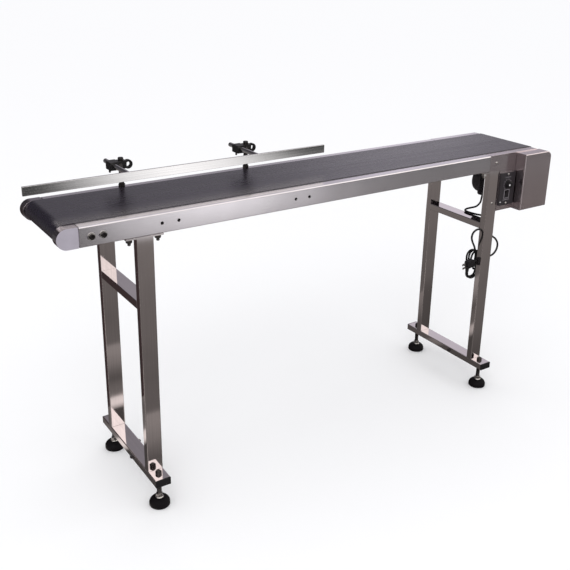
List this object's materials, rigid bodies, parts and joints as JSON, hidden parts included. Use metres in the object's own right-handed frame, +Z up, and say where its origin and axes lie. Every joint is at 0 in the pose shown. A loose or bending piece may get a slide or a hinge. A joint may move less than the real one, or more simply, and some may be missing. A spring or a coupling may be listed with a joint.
{
  "type": "belt conveyor section",
  "caption": "Stainless belt conveyor section on two H-stands with levelling feet, side drive with cover and control panel, adjustable guide bar and tied mains cord.",
  "frame": {"origin": "on the floor, under the middle of the conveyor's overall box without the mains cord", "axes": "+X along the belt towards the drive end, +Y away from the operator's side, +Z up"},
  "size_m": [1.5416, 0.348, 0.829],
  "materials": {
    "brushed_stainless": "brushed along the length",
    "polished_stainless": "bright polished tube",
    "zinc_steel": "bright turned or pressed steel",
    "roller_steel": "turned steel",
    "grey_plastic": "satin moulded",
    "belt_pvc": "matte fine-grained belt",
    "black_paint": "satin black",
    "black_plastic": "satin moulded",
    "black_rubber": "matte"
  },
  "bodies": {
    "conveyor_frame": {"near_rail": "brushed_stainless", "far_rail": "brushed_stainless", "slider_bed": "brushed_stainless", "near_drive_plate": "brushed_stainless", "far_drive_plate": "brushed_stainless", "drive_cover": "brushed_stainless", "tail_near_leg": "polished_stainless", "tail_far_leg": "polished_stainless", "head_near_leg": "polished_stainless", "head_far_leg": "polished_stainless", "tail_crossbar": "polished_stainless", "tail_foot_bar": "polished_stainless", "head_crossbar": "polished_stainless", "head_foot_bar": "polished_stainless", "tail_cross_tie": "zinc_steel", "middle_cross_tie": "zinc_steel", "head_cross_tie": "zinc_steel", "gearbox": "zinc_steel", "guide_post_1": "zinc_steel", "guide_post_2": "zinc_steel", "conveyor_belt": "belt_pvc", "motor": "black_paint", "control_panel": "black_plastic", "control_box": "black_plastic", "tail_near_bar_cap": "black_plastic", "tail_far_bar_cap": "black_plastic", "head_near_bar_cap": "black_plastic", "head_far_bar_cap": "black_plastic", "cord_gland": "black_plastic", "mains_plug": "black_plastic", "hank_tie": "black_plastic", "drive_belt": "black_rubber", "mains_cord": "black_rubber", "cord_hank": "black_rubber", "plug_lead": "black_rubber"},
    "tail_take_up": {"near_tail_cap": "grey_plastic", "far_tail_cap": "grey_plastic", "near_take_up_bolt_1": "zinc_steel", "near_take_up_bolt_2": "zinc_steel", "far_take_up_bolt_1": "zinc_steel", "far_take_up_bolt_2": "zinc_steel"},
    "tail_roller": {"tail_roller": "roller_steel"},
    "drive_roller": {"drive_roller": "roller_steel", "roller_pulley": "zinc_steel"},
    "motor_pulley": {"motor_pulley": "zinc_steel"},
    "speed_knob": {"speed_knob": "black_plastic"},
    "power_switch": {"power_switch": "black_plastic"},
    "guide_clamps": {"guide_clamp_1": "black_plastic", "guide_clamp_2": "black_plastic"},
    "guide_assembly": {"guide_bar": "brushed_stainless", "guide_rod_1": "polished_stainless", "guide_rod_2": "polished_stainless"},
    "tail_near_foot": {"tail_near_foot_stud": "zinc_steel", "tail_near_foot_pad": "black_rubber"},
    "tail_far_foot": {"tail_far_foot_stud": "zinc_steel", "tail_far_foot_pad": "black_rubber"},
    "head_near_foot": {"head_near_foot_stud": "zinc_steel", "head_near_foot_pad": "black_rubber"},
    "head_far_foot": {"head_far_foot_stud": "zinc_steel", "head_far_foot_pad": "black_rubber"}
  },
  "joints": [
    {"name": "drive_roller_spin", "type": "hinge", "parent": "conveyor_frame", "child": "drive_roller", "pos_m": [0.7378, 0, 0.7325], "axis": [0, 1, 0], "continuous": true},
    {"name": "tail_take_up_slide", "type": "slide", "parent": "conveyor_frame", "child": "tail_take_up", "axis": [1, 0, 0], "range_m": [-0.004, 0], "deforming": ["conveyor_belt"]},
    {"name": "tail_roller_spin", "type": "hinge", "parent": "tail_take_up", "child": "tail_roller", "pos_m": [-0.7188, 0, 0.7325], "axis": [0, 1, 0], "continuous": true},
    {"name": "motor_pulley_spin", "type": "hinge", "parent": "conveyor_frame", "child": "motor_pulley", "pos_m": [0.7002, -0.13, 0.625], "axis": [0, 1, 0], "continuous": true},
    {"name": "speed_knob_turn", "type": "hinge", "parent": "conveyor_frame", "child": "speed_knob", "pos_m": [0.6223, -0.142, 0.661], "axis": [0, -1, 0], "range_deg": [-45, 225]},
    {"name": "power_switch_rock", "type": "hinge", "parent": "conveyor_frame", "child": "power_switch", "pos_m": [0.6223, -0.131, 0.631], "axis": [1, 0, 0], "range_deg": [-16, 0]},
    {"name": "guide_height_slide", "type": "slide", "parent": "conveyor_frame", "child": "guide_clamps", "axis": [0, 0, 1], "range_m": [-0.034, 0.0015]},
    {"name": "guide_reach_slide", "type": "slide", "parent": "guide_clamps", "child": "guide_assembly", "axis": [0, 1, 0], "range_m": [-0.03, 0.085]},
    {"name": "tail_near_foot_level", "type": "slide", "parent": "conveyor_frame", "child": "tail_near_foot", "axis": [0, 0, 1], "range_m": [-0.02, 0.03]},
    {"name": "tail_far_foot_level", "type": "slide", "parent": "conveyor_frame", "child": "tail_far_foot", "axis": [0, 0, 1], "range_m": [-0.02, 0.03]},
    {"name": "head_near_foot_level", "type": "slide", "parent": "conveyor_frame", "child": "head_near_foot", "axis": [0, 0, 1], "range_m": [-0.02, 0.03]},
    {"name": "head_far_foot_level", "type": "slide", "parent": "conveyor_frame", "child": "head_far_foot", "axis": [0, 0, 1], "range_m": [-0.02, 0.03]}
  ],
  "couplings": [
    {"joint": "tail_roller_spin", "follows": "drive_roller_spin", "ratio": 1},
    {"joint": "motor_pulley_spin", "follows": "drive_roller_spin", "ratio": 1}
  ]
}
